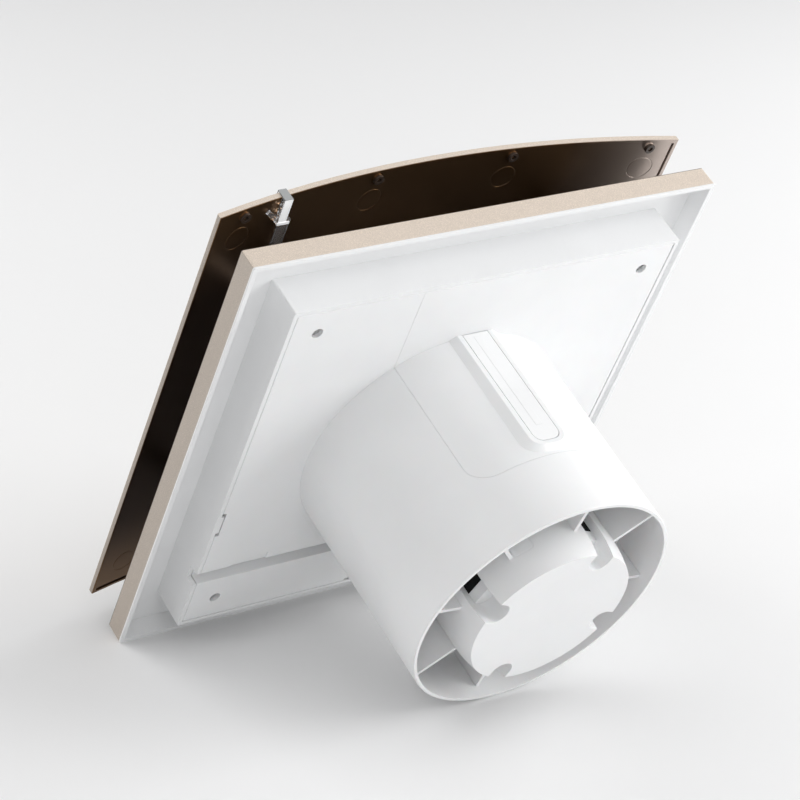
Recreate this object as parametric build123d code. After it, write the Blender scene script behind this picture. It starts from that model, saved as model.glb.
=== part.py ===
from build123d import *
import os
from math import cos, radians, sin, sqrt

# Bathroom extractor fan, in millimetres. The origin is on the duct axis, in the plane where the
# back plate meets the wall. +Y runs into the wall and the duct, -Y into the room, +Z is up.

os.makedirs("parts", exist_ok=True)

# ---------------------------------------------------------------- driving dimensions
SEAM = 0.25                                  # gap between pieces that only meet
RUNNING = 0.05                               # radial clearance of a turning pin or shaft
OVER = 1.0                                   # how far a cutter stands past what it cuts
FAR = 200.0                                  # a cutter that goes right through the fan

# Duct spigot, for a 120 mm duct
SPIGOT_R = 59.5
SPIGOT_BASE_R = 59.8
SPIGOT_WALL = 1.7
SPIGOT_BORE_R = SPIGOT_R - SPIGOT_WALL
SPIGOT_END = 95.8
SPIGOT_TAPER_END = 68.0                      # the last stretch is a true cylinder
SPIGOT_FRONT = -18.4
SPIGOT_EDGE_R = 0.5

# Frame: a square rim with a shallow box behind it
RIM_SIZE = 225.7
RIM_FRONT = -20.8
RIM_BACK = -10.45
RIM_WALL = 2.0
FRONT_WALL = 1.6
FLOOR = RIM_FRONT + FRONT_WALL
BOX_SIZE = 189.4
BOX_WALL = 1.8
CORNER_R = 0.8
INLET_R = 58.3
TAB_Z = (-35.0, -25.0)                       # snap tabs that lap over the back plate's edge
TAB_WALL = 1.6
TAB_LAP = 1.1

# Back plate, set flush into the box
PLATE_WALL = 2.0
PLATE_SEAM = 0.35                            # seen all round the plate from behind
PLATE_EDGE = 0.3                             # chamfer that catches the light beside the seam
PLATE_SIZE = BOX_SIZE - 2 * BOX_WALL - 2 * PLATE_SEAM
LATCH_Z = (-37.0, -23.0)                     # notches under the snap tabs, longer than the tabs
LATCH_DEPTH = 1.7
LATCH_BACK = -6.0
RECESS_X = (60.7, 78.6)                      # shallow recess over the cable groove
RECESS_DEPTH = 0.6
RECESS_HEIGHT = 3.6
PLATE_LINE_X = (33.3, 33.5)
PLATE_LINE_START = 48.5
FINE_DEPTH = 0.1                             # the parting line up the plate
KEY_X = (8.0, 11.0)                          # keyway in the plate's lower edge
KEY_DEPTH = 1.2
KEY_HEIGHT = 1.6
SCREW_X = 80.1
SCREW_Z = 80.6
SCREW_R = 2.5
WELL_R = 5.0
WELL_WALL = 1.2
WELL_FLOOR = 1.4

# Cable groove across the back plate, below the spigot
GROOVE_TOP = -60.7
GROOVE_BOTTOM = -67.5
GROOVE_DEPTH = 5.0
GROOVE_WALL = 1.6
GROOVE_END = -14.0
ENTRY_Z = (GROOVE_TOP + GROOVE_BOTTOM) / 2
ENTRY_R = 4.4
ENTRY_PAD = 6.4
CABLE_R = 2.6                                # the grommet's lip grips the cable
GROMMET_BORE_R = 3.2                         # and the rest of it clears it
GROMMET_FLANGE = 1.4
GROMMET_LIP = 1.2
GROMMET_REACH = 0.6
CLAMP_X = -24.0
CLAMP_Z = -78.5
CLAMP_HALF = 6.5
CLAMP_WIDTH = 6.0
CLAMP_WALL = 2.0
CLAMP_END = 3.0                              # from a screw to the bar's end
CLAMP_RIB = 0.8
CLAMP_RIB_X = 1.5
POST_R = 2.4
POST_FRONT = -9.6
POST_HOLE_R = 0.9
POST_SCREW_R = 1.1                           # clearance hole over a post
POST_SCREW_REACH = 5.0

# Cable ridge along the top of the spigot, and the strip that closes it
RIDGE_X = -2.0
RIDGE_TOP = 61.3
RIDGE_WIDTH = 17.0
RIDGE_END = 62.0
RIDGE_CORNER = 5.5
RIDGE_SPREAD = 1.48                          # how far the foot runs out, for each mm of height
RIDGE_HEIGHT = 8.0
STRIP_X = RIDGE_X - 0.1
STRIP_WIDTH = 12.2
STRIP_END = 60.0
STRIP_WALL = 1.2
STRIP_CORNER = 4.0
STRIP_RIB_WIDTH = 3.2
STRIP_RIB_HEIGHT = 0.06
STRIP_RIB_Y = (2.0, 52.0)
PARTING_WIDTH = 71.0
PARTING_END = 66.3
PARTING_CORNER = 10.0
PARTING_LINE = 0.18
PARTING_DEPTH = 0.12
CHANNEL_WIDTH = 7.0
CHANNEL_FLOOR = 58.4
CHANNEL_HOLE = 4.0                           # where the leads drop through into the duct
NEAR_RIDGE = (50, 70)                        # heights that hold the whole ridge

# Curved front cover, bent about the vertical
COVER_SIZE = 225.2
COVER_R = 550.0
COVER_WALL = 2.7
COVER_APEX = -50.15                          # inner face at the middle
COVER_CENTRE_Y = COVER_APEX + COVER_R
COVER_EDGE_R = 0.5
COVER_GROOVE_IN = 1.8                        # from the side edges
COVER_GROOVE_WIDTH = 1.1
COVER_GROOVE_DEPTH = 1.6
SHORT_GROOVE_IN = 1.2                        # from the lower edge
SHORT_GROOVE_WIDTH = 1.8
SHORT_GROOVE_LENGTH = 20.0
BOSS_X = (-99.5, -33.2, 33.2, 99.5)
BOSS_Z = 108.7
BOSS_R = 2.3
BOSS_BORE_R = 1.1
BOSS_HEIGHT = 1.5
MARK_Z = 97.0
MARK_R = 5.8
MARK_WIDTH = 0.35
MARK_DEPTH = 0.1
LEG_X = 67.0
LEG_Z = 70.0
LEG_WIDTH = 8.0
LEG_WALL = 3.0
LEG_TIP = -11.0
LEG_GAP = 0.6
LEG_LEAD_IN = 0.8
LEG_RIB_HALF = 5.0
LEG_COLLAR = 6.0
LEG_PLACES = [(x, z) for x in (-LEG_X, LEG_X) for z in (-LEG_Z, LEG_Z)]
SCREW_PLACES = [(x, z) for x in (-SCREW_X, SCREW_X) for z in (-SCREW_Z, SCREW_Z)]

# Light guide hooked over the cover's top edge
LAMP_X = 77.35
LAMP_Z = 58.0
LAMP_R = 2.0
LAMP_HOLE_R = 2.4
GUIDE_X = (78.2, 81.9)
GUIDE_Y = (-43.8, -41.5)
GUIDE_FOOT_X = (76.6, 82.2)
GUIDE_FOOT_Z = (99.9, 101.2)
GUIDE_FOOT_BACK = -41.2
GUIDE_CAP = 0.5                              # how far it stands over the cover's edges
GUIDE_GAP = 0.05
GUIDE_LIP = 1.5
GUIDE_STRIP_WIDTH = 4.9
GUIDE_STRIP_Y = (-44.2, -43.0)
GUIDE_TIP = RIM_FRONT - 1.2
RUNG_COUNT = 3
RUNG_STEP = 3.6
RUNG_OPENING = 2.2
RUNG_WALL = 0.7
LUG_PLACE = (84.5, -42.4, 104.4)
LUG_LENGTH = 8.5
LUG_WIDTH = 2.0
LUG_WALL = 1.2
LUG_ANGLE = 42.0

# Inlet grille
GRILLE_R = 61.5
GRILLE_BORE_R = 56.0
GRILLE_RIM = 1.8
GRILLE_WALL = 1.6
GRILLE_HUB_R = 13.0
GRILLE_RINGS = range(12, 56, 8)
GRILLE_BAR = 1.0                             # half a bar's width
GRILLE_SPOKES = 6

# Backdraught shutter: two half-round flaps on one upright pin
PIN_Y = -14.0
PIN_R = 1.2
PIN_HALF = 57.0
KNUCKLE_R = 2.2
FLAP_R = 54.7
FLAP_FRONT = -16.9
FLAP_WALL = 1.2
FLAP_START = 2.7
FLAP_CORNER = (4.0, 1.8)                     # cut away beside the pin's end eyes
FLAP_RIBS = ((20.0, 30.0), (31.0, 22.0), (42.0, 14.0))
FLAP_RIB_HEIGHT = 0.8
SEAT_R = 52.8
SEAT_BACK = FLAP_FRONT - 0.3
SHUTTER_R = 57.6
SHUTTER_BORE_R = 55.4
SHUTTER_FRONT = -18.9
SHUTTER_BACK = -8.0
SHUTTER_BAR = 2.0                            # half the width of the bar behind the pin
EYE_HALF = 1.2
EYE_WIDTH = 1.7
END_EYE_WIDTH = 2.4
KNUCKLES = ((4.0, 12.0), (-30.0, -22.0))
SPRING_Z = 13.6
SPRING_WIRE = 0.3
SPRING_PITCH = 1.1
SPRING_TURNS = 4
SPRING_REACH = 14.0

# Impeller
SHAFT_R = 2.5
SHAFT_END = 99.4
SHAFT_CHAMFER = 0.4
HUB_R = 24.0
HUB_FRONT = 40.0
HUB_BACK = 57.0
HUB_WALL = 1.8
HUB_EDGE_R = 3.0
HUB_CORE_R = 5.5
HUB_WEB = 0.7                                # half a web's thickness
BLADE_COUNT = 7
BLADE_R = 56.5
BLADE_CENTRE = 48.0
# radius, pitch, chord, camber and thickness of each section
BLADE_SECTIONS = (
    (HUB_R - 3, 46, 21, 2.6, 2.2),
    (40, 36, 27, 2.6, 2.0),
    (BLADE_R + 3, 28, 32, 2.4, 1.8),
)
CLIP_R = 4.6
CLIP_WALL = 0.8
CLIP_SLOT_R = 3.4

# Motor support: a cup with four outside grooves, on eight vanes
CUP_R = 38.7
CUP_FACE_R = 36.8
CUP_FRONT = 62.0
CUP_BACK = 102.4
CUP_NOSE = 13.9                              # the stretch over which the far end rounds in
CUP_WALL = 1.8
CUP_BORE_R = 36.1
PANEL_ANGLE = 60.5                           # faint rounded panel outline on the cup's side
PANEL_Y = 88.2
PANEL_SIZE = (9.5, 5.6)
PANEL_CORNER = 1.6
PANEL_LINE = 0.35
PANEL_DEPTH = 0.15
SHELF_REACH = 34.8                           # a shelf closes each groove's inner part
SHELF_FRONT = 87.0
SHELF_BACK = 92.0
SHELF_ROOT = 0.3
NOTCH_ANGLE = 22.3
NOTCH_COUNT = 4
NOTCH_WIDTH = 10.5
NOTCH_INNER = 28.2
NOTCH_REACH = 60.0
NOTCH_WALL = 1.5
VANE_ANGLE = 7.0
VANE_COUNT = 8
VANE_WALL = 1.7
VANE_FRONT = 64.0
VANE_END = 90.2
VANE_ROOT = 0.5                              # how far a vane runs into the cup's wall
BAND_R = 57.7
BAND_WALL = 1.2
BAND_END = 72.0

# Motor
CORE_R = 26.0
CORE_BORE_R = 13.6
CORE_FRONT = 74.0
CORE_BACK = 88.0
YOKE_R = 22.0
POLE_COUNT = 4
POLE_WIDTH = 9.0
POLE_ROOT = 10.0
SHOE_R = 16.4
SHOE_GAP = 1.5                               # half the gap between two pole shoes
COIL_X = (16.8, 20.0)
COIL_WALL = 2.6
COIL_OVERHANG = 3.0
COIL_CORNER = 2.4
COIL_GAP = 0.3
ROTOR_R = 13.3
ROTOR_RING_R = 12.7
ROTOR_RING_BORE_R = 9.0
ROTOR_RING = 1.5                             # how far the end rings stand past the sheets
BEARING_R = 5.0
BEARING_SEAT_R = 8.0
TIE_AT = 24.0
TIE_R = 1.4
TIE_HEAD_R = 2.0
TIE_PLACES = [(TIE_AT * cos(radians(a)), TIE_AT * sin(radians(a))) for a in (45, 135, 225, 315)]
WINDOW_R = 4.0
WINDOW_AT = 15.0 / TIE_AT
BRACKET_SKIRT = 0.6
ARM_FRONT = 66.5
ARM_BACK = 69.0
ARM_WIDTH = 5.0
ARM_REACH = 33.5
ARM_ROOT = 18.0
ARM_SLOT_ROOT = 20.0
ARM_PLAY = 0.4
FRONT_SEAT = 63.5
REAR_DISC = (93.0, 95.5)
REAR_SEAT = 99.0
RUBBER_REACH = 34.9
RUBBER_FRONT = 64.0
RUBBER_BACK = 86.9
RUBBER_PLAY = 0.1

# Mains side
TERMINAL_X = -46.0
TERMINAL_Z = -78.0
TERMINAL_LENGTH = 26.0
TERMINAL_HEIGHT = 12.0
TERMINAL_FRONT = -15.0
TERMINAL_PITCH = 8.0
TERMINAL_POLES = (-1, 0, 1)
TERMINAL_SCREW_R = 1.9
TERMINAL_SCREW_END = -9.0
TERMINAL_GRIP = 0.4
TERMINAL_BORE_R = 1.7
TERMINAL_LAP = 2.0                           # how far the cover laps over the opening
TERMINAL_COVER_WALL = 1.4
TERMINAL_FIX_X = TERMINAL_X + TERMINAL_LENGTH / 2 + 4
TERMINAL_POST_R = 3.0
TERMINAL_POST = 7.0
TERMINAL_FIX_R = 1.1
EASED = 1.5                                  # rounded corners of small plates
BOARD_X = (63.5, 88.5)
BOARD_Z = (49.5, 67.5)
BOARD_WALL = 1.6
BOARD_SCREWS = ((67.0, 53.0), (85.0, 64.0))
CHIP_X = (71.5, 74.7)
CHIP_LENGTH = 2.0
CHIP_HEIGHT = 0.6
CHIP_Z = (51.0, 52.3)
LED_R = 1.5
LED_COLLAR = 0.3
LED_LENGTH = 4.0
SMALL_SCREW_R = 0.9
SMALL_HEAD_R = 1.9
HEAD_HEIGHT = 1.6
RECESS_HALF = 0.3                            # half the width of a screw's cross recess

# Leads, in insulated single wires
LEAD_R = 0.75
LEAD_Y = (-7.6, -9.2)                        # the two wires of a pair lie one before the other
LEAD_X = (-3.2, -0.8)                        # and side by side in the ridge's channel
LEAD_Z = CHANNEL_FLOOR + LEAD_R + 0.1
LEAD_IN_Y = 58.4
LEAD_DOWN_Z = 31.0                           # height of the run beside the motor cup's axis
LEAD_COIL_Y = CORE_FRONT - 2.2
LEAD_COIL_Z = 22.0
LEAD_SIDE_X = -74.0
LEAD_SIDE_Z = (-66.0, -40.0, 44.0)
LEAD_CORNER_X = -40.0
LEAD_TOP_Z = 74.0
LEAD_INSIDE = 3.0                            # how far a lead starts from its terminal's middle
LEAD_BEND = 1.6
LAMP_LEAD_LOW = -89.6
LAMP_LEAD_X = 90.6
LAMP_LEAD_Z = (52.0, 58.6)
LAMP_LEAD_BEND = 0.9


# ---------------------------------------------------------------- small helpers
def rod(radius, y_start, y_end, x=0, z=0):
    """A cylinder along Y."""
    return Pos(x, (y_start + y_end) / 2, z) * Rot(90, 0, 0) * Cylinder(radius, abs(y_end - y_start))


def tube(outer, inner, y_start, y_end, x=0, z=0):
    """A hollow cylinder along Y."""
    return rod(outer, y_start, y_end, x, z) - rod(inner, y_start - OVER, y_end + OVER, x, z)


def block(x_span, y_span, z_span):
    """A box from three pairs of limits."""
    spans = (x_span, y_span, z_span)
    return Pos(*(sum(s) / 2 for s in spans)) * Box(*(abs(s[1] - s[0]) for s in spans))


def both_ways(half, middle=0.0):
    """Limits at equal distances each side of a middle."""
    return middle - half, middle + half


def slab(size, y_start, y_end, corner=0):
    """A square plate across Y."""
    plate = block(both_ways(size / 2), (y_start, y_end), both_ways(size / 2))
    return fillet(plate.edges().filter_by(Axis.Y), corner) if corner else plate


def prism(sketch, y_start, y_end):
    """A flat outline in X and Z, made solid along Y."""
    return extrude(Plane.XZ.offset(-y_start) * sketch, -(y_end - y_start))


def around(shape, count, first=0):
    """Copies of a shape, spaced evenly about the fan's axis."""
    return [Rot(0, -(first + k * 360 / count), 0) * shape for k in range(count)]


def wire_run(points, radius, bend):
    """A round wire of the given radius along straight runs joined by arcs."""
    path = FilletPolyline(*points, radius=bend)
    section = Plane(origin=points[0], z_dir=Vector(*points[1]) - Vector(*points[0])) * Circle(radius)
    return sweep(section, path=path)


def screw(radius, head_r, head_y, head_h, tip_y, x, z):
    """A cross-recessed screw along Y, with its head towards the room."""
    body = rod(head_r, head_y, head_y + head_h, x, z) + rod(radius, head_y + head_h, tip_y, x, z)
    depth = (head_y, head_y + head_h / 2)
    arm = head_r * 0.65
    cross = block(both_ways(arm, x), depth, both_ways(RECESS_HALF, z))
    cross += block(both_ways(RECESS_HALF, x), depth, both_ways(arm, z))
    return body - cross


def small_screw(seat_y, thickness, x, z):
    """A screw into one of the back plate's posts, through a piece of the given thickness."""
    head_y = seat_y - thickness - HEAD_HEIGHT
    return screw(SMALL_SCREW_R, SMALL_HEAD_R, head_y, HEAD_HEIGHT, seat_y + POST_SCREW_REACH, x, z)


def save(name, shape):
    """Writes one node. A list is a group of separate solids."""
    if isinstance(shape, list):
        shape = Compound(children=shape)
    export_step(shape, f"parts/{name}.step")


# ---------------------------------------------------------------- front cover and light guide
def cover_inner_y(x):
    """The cover's inner face at a distance x from the middle."""
    return COVER_CENTRE_Y - sqrt(COVER_R**2 - x**2)


def cover_shell(inner, outer, height):
    """A curved sheet between two radii about the cover's upright bending axis."""
    sheet = Cylinder(outer, height) - Cylinder(inner, height + OVER)
    sheet = Pos(0, COVER_CENTRE_Y, 0) * sheet
    return sheet & block(both_ways(COVER_SIZE / 2), (COVER_APEX - FAR, 0), both_ways(height))


def front_cover():
    half = COVER_SIZE / 2
    body = cover_shell(COVER_R, COVER_R + COVER_WALL, COVER_SIZE)
    body = fillet(body.edges().filter_by(Axis.Z), COVER_EDGE_R)
    for x in BOSS_X:
        y = cover_inner_y(x)
        body += rod(BOSS_R, y - COVER_EDGE_R, y + BOSS_HEIGHT, x, BOSS_Z)
        body -= rod(BOSS_BORE_R, y + RECESS_HALF, y + BOSS_HEIGHT + OVER, x, BOSS_Z)
    # Shallow round marks left by the mould's ejector pins, and a groove along two edges
    skin = cover_shell(COVER_R - OVER, COVER_R + MARK_DEPTH, COVER_SIZE)
    for z in (-MARK_Z, MARK_Z):
        for x in BOSS_X:
            body -= tube(MARK_R, MARK_R - MARK_WIDTH, COVER_APEX, 0, x, z) & skin
    groove = cover_shell(COVER_R - OVER, COVER_R + COVER_GROOVE_DEPTH, COVER_SIZE)
    start = -half + COVER_GROOVE_IN
    body -= block((start, start + COVER_GROOVE_WIDTH), (COVER_APEX, 0), (start, -start)) & groove
    low = (-half + SHORT_GROOVE_IN, -half + SHORT_GROOVE_IN + SHORT_GROOVE_WIDTH)
    body -= block((half - SHORT_GROOVE_LENGTH, -start), (COVER_APEX, 0), low) & groove
    for x, z in LEG_PLACES:
        root = cover_inner_y(x) - COVER_WALL / 2
        leg = block(both_ways(LEG_WIDTH / 2, x), (root, LEG_TIP), both_ways(LEG_WALL / 2, z))
        leg = chamfer(leg.faces().sort_by(Axis.Y)[-1].edges(), LEG_LEAD_IN)
        body += leg
        body += block(both_ways(1, x), (root, RIM_FRONT - LEG_WALL), both_ways(LEG_RIB_HALF, z))
    return body


def light_guide():
    edge = COVER_SIZE / 2 + GUIDE_GAP
    cap = edge + GUIDE_CAP
    front, back = GUIDE_Y
    foot_low, foot_high = GUIDE_FOOT_Z
    lip = cover_inner_y(GUIDE_X[0]) - COVER_WALL - GUIDE_GAP
    body = block(GUIDE_X, GUIDE_Y, (foot_low, cap))
    body += block(GUIDE_X, (lip - GUIDE_CAP, back), (edge, cap))
    body += block(GUIDE_X, (lip - GUIDE_CAP, lip), (edge - GUIDE_LIP, cap))
    body += block(GUIDE_FOOT_X, (front, GUIDE_FOOT_BACK), GUIDE_FOOT_Z)
    strip_z = (LAMP_Z - LAMP_R - GUIDE_CAP, (foot_low + foot_high) / 2)
    body += block(both_ways(GUIDE_STRIP_WIDTH / 2, LAMP_X), GUIDE_STRIP_Y, strip_z)
    # Openings through the stem leave a ladder of rungs
    across = (GUIDE_X[0] - OVER, GUIDE_X[1] + OVER)
    for k in range(RUNG_COUNT):
        z = foot_high + RUNG_WALL + RUNG_STEP * k
        body -= block(across, (front + RUNG_WALL, back - RUNG_WALL), (z, z + RUNG_OPENING))
    body += Pos(*LUG_PLACE) * Rot(0, -LUG_ANGLE, 0) * Box(LUG_LENGTH, LUG_WALL, LUG_WIDTH)
    return body + rod(LAMP_R, GUIDE_STRIP_Y[0], GUIDE_TIP, LAMP_X, LAMP_Z)


# ---------------------------------------------------------------- frame
def terminal_window(grow):
    """Limits in X and Z of the terminal opening, grown on every side."""
    x = both_ways(TERMINAL_LENGTH / 2 + grow, TERMINAL_X)
    z = both_ways(TERMINAL_HEIGHT / 2 + grow, TERMINAL_Z)
    return x, z


def frame():
    half = BOX_SIZE / 2
    body = slab(RIM_SIZE, RIM_FRONT, RIM_BACK, CORNER_R)
    body -= slab(RIM_SIZE - 2 * RIM_WALL, FLOOR, OVER)
    body += slab(BOX_SIZE, FLOOR, 0, CORNER_R) - slab(BOX_SIZE - 2 * BOX_WALL, FLOOR - OVER, OVER)
    body -= rod(INLET_R, RIM_FRONT - OVER, FLOOR + OVER)
    # Wells for the four wall screws
    well_end = -PLATE_WALL - SEAM
    for x, z in SCREW_PLACES:
        body += rod(WELL_R + WELL_WALL, FLOOR, well_end, x, z)
        body -= rod(WELL_R, RIM_FRONT - OVER, well_end - WELL_FLOOR, x, z)
        body -= rod(SCREW_R, well_end - 2 * WELL_FLOOR, 0, x, z)
    # Slots and guide collars for the cover's legs
    for x, z in LEG_PLACES:
        wide = LEG_WIDTH / 2 + LEG_GAP
        tall = LEG_WALL / 2 + LEG_GAP
        collar = (FLOOR, FLOOR + LEG_COLLAR)
        body += block(both_ways(wide + 1, x), collar, both_ways(tall + 1, z))
        body -= block(both_ways(wide, x), (RIM_FRONT - OVER, collar[1] + OVER), both_ways(tall, z))
    # Terminal opening, its cover's screw post, and the pilot lamp's hole
    window_x, window_z = terminal_window(0)
    body -= block(window_x, (RIM_FRONT - OVER, FLOOR + OVER), window_z)
    body += rod(TERMINAL_POST_R, FLOOR, FLOOR + TERMINAL_POST, TERMINAL_FIX_X, TERMINAL_Z)
    body -= rod(TERMINAL_FIX_R, RIM_FRONT - OVER, FLOOR + TERMINAL_POST - 1, TERMINAL_FIX_X, TERMINAL_Z)
    body -= rod(LAMP_HOLE_R, RIM_FRONT - OVER, FLOOR + OVER, LAMP_X, LAMP_Z)
    # Cable groove through the right wall of the box
    wall = (half - 2 * BOX_WALL, half + OVER)
    body -= block(wall, (-GROOVE_DEPTH, OVER), (GROOVE_BOTTOM, GROOVE_TOP))
    for side in (-1, 1):
        tab = (side * (PLATE_SIZE / 2 - TAB_LAP), side * half)
        body += block(tab, (-PLATE_WALL - TAB_WALL, 0), TAB_Z)
    return body


# ---------------------------------------------------------------- back plate and spigot
def tongue(x, width, y_end, corner, grow):
    """An outline seen from above: straight from the wall, with a round-cornered end."""
    wide = width + 2 * grow
    reach = y_end + grow
    root = 2 * (corner + grow)
    outline = Pos(x, reach / 2) * RectangleRounded(wide, reach, corner + grow)
    return outline + Pos(x, root / 2) * Rectangle(wide, root)


def ridge_outline(grow):
    return tongue(RIDGE_X, RIDGE_WIDTH, RIDGE_END, RIDGE_CORNER, grow)


def parting_outline(grow):
    return tongue(RIDGE_X, PARTING_WIDTH, PARTING_END, PARTING_CORNER, grow)


def strip_outline(grow):
    return tongue(STRIP_X, STRIP_WIDTH, STRIP_END, STRIP_CORNER, grow)


def spigot_cone(below):
    """The spigot's drafted stretch, taken a little below its surface."""
    base = Plane.XZ * Circle(SPIGOT_BASE_R - below)
    end = Plane.XZ.offset(-SPIGOT_TAPER_END) * Circle(SPIGOT_R - below)
    return loft([base, end])


def spigot_tube():
    """The spigot's outside, with a slight draft and the ridge along its top."""
    outside = spigot_cone(0) + rod(SPIGOT_R, SPIGOT_TAPER_END, SPIGOT_END)
    outside += rod(SPIGOT_BASE_R, SPIGOT_FRONT, 0)
    outside = fillet(outside.faces().sort_by(Axis.Y)[-1].edges(), SPIGOT_EDGE_R)
    foot = Plane.XY.offset(RIDGE_TOP - RIDGE_HEIGHT) * ridge_outline(RIDGE_HEIGHT * RIDGE_SPREAD)
    crest = Plane.XY.offset(RIDGE_TOP) * ridge_outline(0)
    behind = block(both_ways(SPIGOT_BASE_R), (-PLATE_WALL / 2, SPIGOT_END), (0, FAR))
    return outside + (loft([foot, crest]) & behind)


def posts():
    """Screw posts on the back plate: two for the cable clamp, two for the lamp board."""
    return [(CLAMP_X, CLAMP_Z - CLAMP_HALF), (CLAMP_X, CLAMP_Z + CLAMP_HALF), *BOARD_SCREWS]


def back_plate():
    half = PLATE_SIZE / 2
    trough_front = -GROOVE_DEPTH - GROOVE_WALL
    body = slab(PLATE_SIZE, -PLATE_WALL, 0)
    body = chamfer(body.faces().sort_by(Axis.Y)[-1].edges(), PLATE_EDGE)
    trough_z = (GROOVE_BOTTOM - GROOVE_WALL, GROOVE_TOP + GROOVE_WALL)
    body += block((GROOVE_END, half), (trough_front, 0), trough_z)
    body += rod(ENTRY_PAD, trough_front, 0, GROOVE_END, ENTRY_Z)
    for x, z in posts():
        body += rod(POST_R, POST_FRONT, -PLATE_WALL / 2, x, z)
        body -= rod(POST_HOLE_R, POST_FRONT - OVER, -PLATE_WALL, x, z)
    body += spigot_tube()
    body -= rod(SPIGOT_BORE_R, SPIGOT_FRONT - OVER, SPIGOT_END + OVER)
    body -= block((GROOVE_END, half + OVER), (-GROOVE_DEPTH, OVER), (GROOVE_BOTTOM, GROOVE_TOP))
    body -= block(RECESS_X, (-RECESS_DEPTH, OVER), (GROOVE_TOP - SEAM, GROOVE_TOP + RECESS_HEIGHT))
    body -= rod(ENTRY_R, trough_front - OVER, OVER, GROOVE_END, ENTRY_Z)
    for x, z in SCREW_PLACES:
        body -= rod(SCREW_R, -PLATE_WALL - OVER, OVER, x, z)
    # Rebate for the strip, the channel under it, and the slot where the motor's leads go in
    rebate = extrude(Plane.XY.offset(RIDGE_TOP - STRIP_WALL) * strip_outline(SEAM), RIDGE_HEIGHT)
    body -= rebate & block(both_ways(RIDGE_WIDTH), (0, SPIGOT_END), NEAR_RIDGE)
    channel = both_ways(CHANNEL_WIDTH / 2, RIDGE_X)
    channel_top = RIDGE_TOP - STRIP_WALL + 0.1
    channel_end = STRIP_END - 0.5
    body -= block(channel, (LEAD_Y[1] - LEAD_INSIDE, channel_end), (CHANNEL_FLOOR, channel_top))
    body -= block(channel, (channel_end - CHANNEL_HOLE, channel_end), (NEAR_RIDGE[0], channel_top))
    # Fine parting line of the mould, round the ridge and up the plate
    line = Plane.XY.offset(SPIGOT_R / 2) * (parting_outline(0) - parting_outline(-PARTING_LINE))
    line = extrude(line, SPIGOT_R) & block(both_ways(SPIGOT_R), (0.5, SPIGOT_END), (0, NEAR_RIDGE[1]))
    body -= line - spigot_cone(PARTING_DEPTH)
    body -= block(PLATE_LINE_X, (-FINE_DEPTH, OVER), (PLATE_LINE_START, half + OVER))
    for side in (-1, 1):
        notch = (side * (half - LATCH_DEPTH), side * (half + OVER))
        body -= block(notch, (LATCH_BACK, OVER), LATCH_Z)
    return body - block(KEY_X, (-KEY_DEPTH, OVER), (-half - OVER, -half + KEY_HEIGHT))


def cable_strip():
    strip = extrude(Plane.XY.offset(RIDGE_TOP - STRIP_WALL) * strip_outline(0), STRIP_WALL)
    strip &= block(both_ways(RIDGE_WIDTH), (SEAM, SPIGOT_END), NEAR_RIDGE)
    rib_z = (RIDGE_TOP - STRIP_RIB_HEIGHT, RIDGE_TOP + STRIP_RIB_HEIGHT)
    return strip + block(both_ways(STRIP_RIB_WIDTH / 2, RIDGE_X), STRIP_RIB_Y, rib_z)


# ---------------------------------------------------------------- inlet grille and shutter
def inlet_grille():
    front = RIM_FRONT - GRILLE_RIM
    bars = (front, front + GRILLE_WALL)
    body = tube(GRILLE_R, GRILLE_BORE_R, front, RIM_FRONT)
    body += tube(INLET_R - SEAM, GRILLE_BORE_R, RIM_FRONT, FLOOR)
    for radius in GRILLE_RINGS:
        body += tube(radius + GRILLE_BAR, radius - GRILLE_BAR, *bars)
    spoke = block((GRILLE_HUB_R - OVER, GRILLE_BORE_R + OVER), bars, both_ways(GRILLE_BAR))
    for arm in around(spoke, GRILLE_SPOKES):
        body += arm
    return body + rod(GRILLE_HUB_R, *bars)


def shutter_frame():
    body = tube(SHUTTER_R, SHUTTER_BORE_R, SHUTTER_FRONT, SHUTTER_BACK)
    body += tube(SHUTTER_R, SEAT_R, SHUTTER_FRONT, SEAT_BACK)
    body += block(both_ways(SHUTTER_BAR), (SHUTTER_FRONT, SEAT_BACK), both_ways(SEAT_R + OVER))
    eye = (SHUTTER_FRONT, PIN_Y + KNUCKLE_R)
    body += block(both_ways(EYE_WIDTH), eye, both_ways(EYE_HALF))
    for side in (-1, 1):
        z = (side * (SHUTTER_BORE_R - EYE_WIDTH), side * (SHUTTER_BORE_R + OVER))
        body += block(both_ways(END_EYE_WIDTH), eye, z)
    return body - shutter_pin()


def shutter_pin():
    return Pos(0, PIN_Y, 0) * Cylinder(PIN_R, 2 * PIN_HALF)


def flap():
    """The half-round flap on the +X side, with its two knuckles. The other is the same, turned."""
    back = FLAP_FRONT + FLAP_WALL
    half = block((FLAP_START, FLAP_R), (FLAP_FRONT, back), both_ways(FLAP_R))
    body = rod(FLAP_R, FLAP_FRONT, back) & half
    corner_x, corner_z = FLAP_CORNER
    for side in (-1, 1):
        clear = (side * (FLAP_R - corner_z), side * (FLAP_R + OVER))
        body -= block((0, corner_x), (FLAP_FRONT - OVER, back + OVER), clear)
    for reach, rib_half in FLAP_RIBS:
        body += block((reach, reach + 1), (back, back + FLAP_RIB_HEIGHT), both_ways(rib_half))
    for low, high in KNUCKLES:
        body += Pos(0, PIN_Y, (low + high) / 2) * Cylinder(KNUCKLE_R, high - low)
        body += block((0, FLAP_START + 0.5), (FLAP_FRONT, back + 0.6), (low, high))
    return body - Pos(0, PIN_Y, 0) * Cylinder(PIN_R + RUNNING, FAR)


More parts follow.
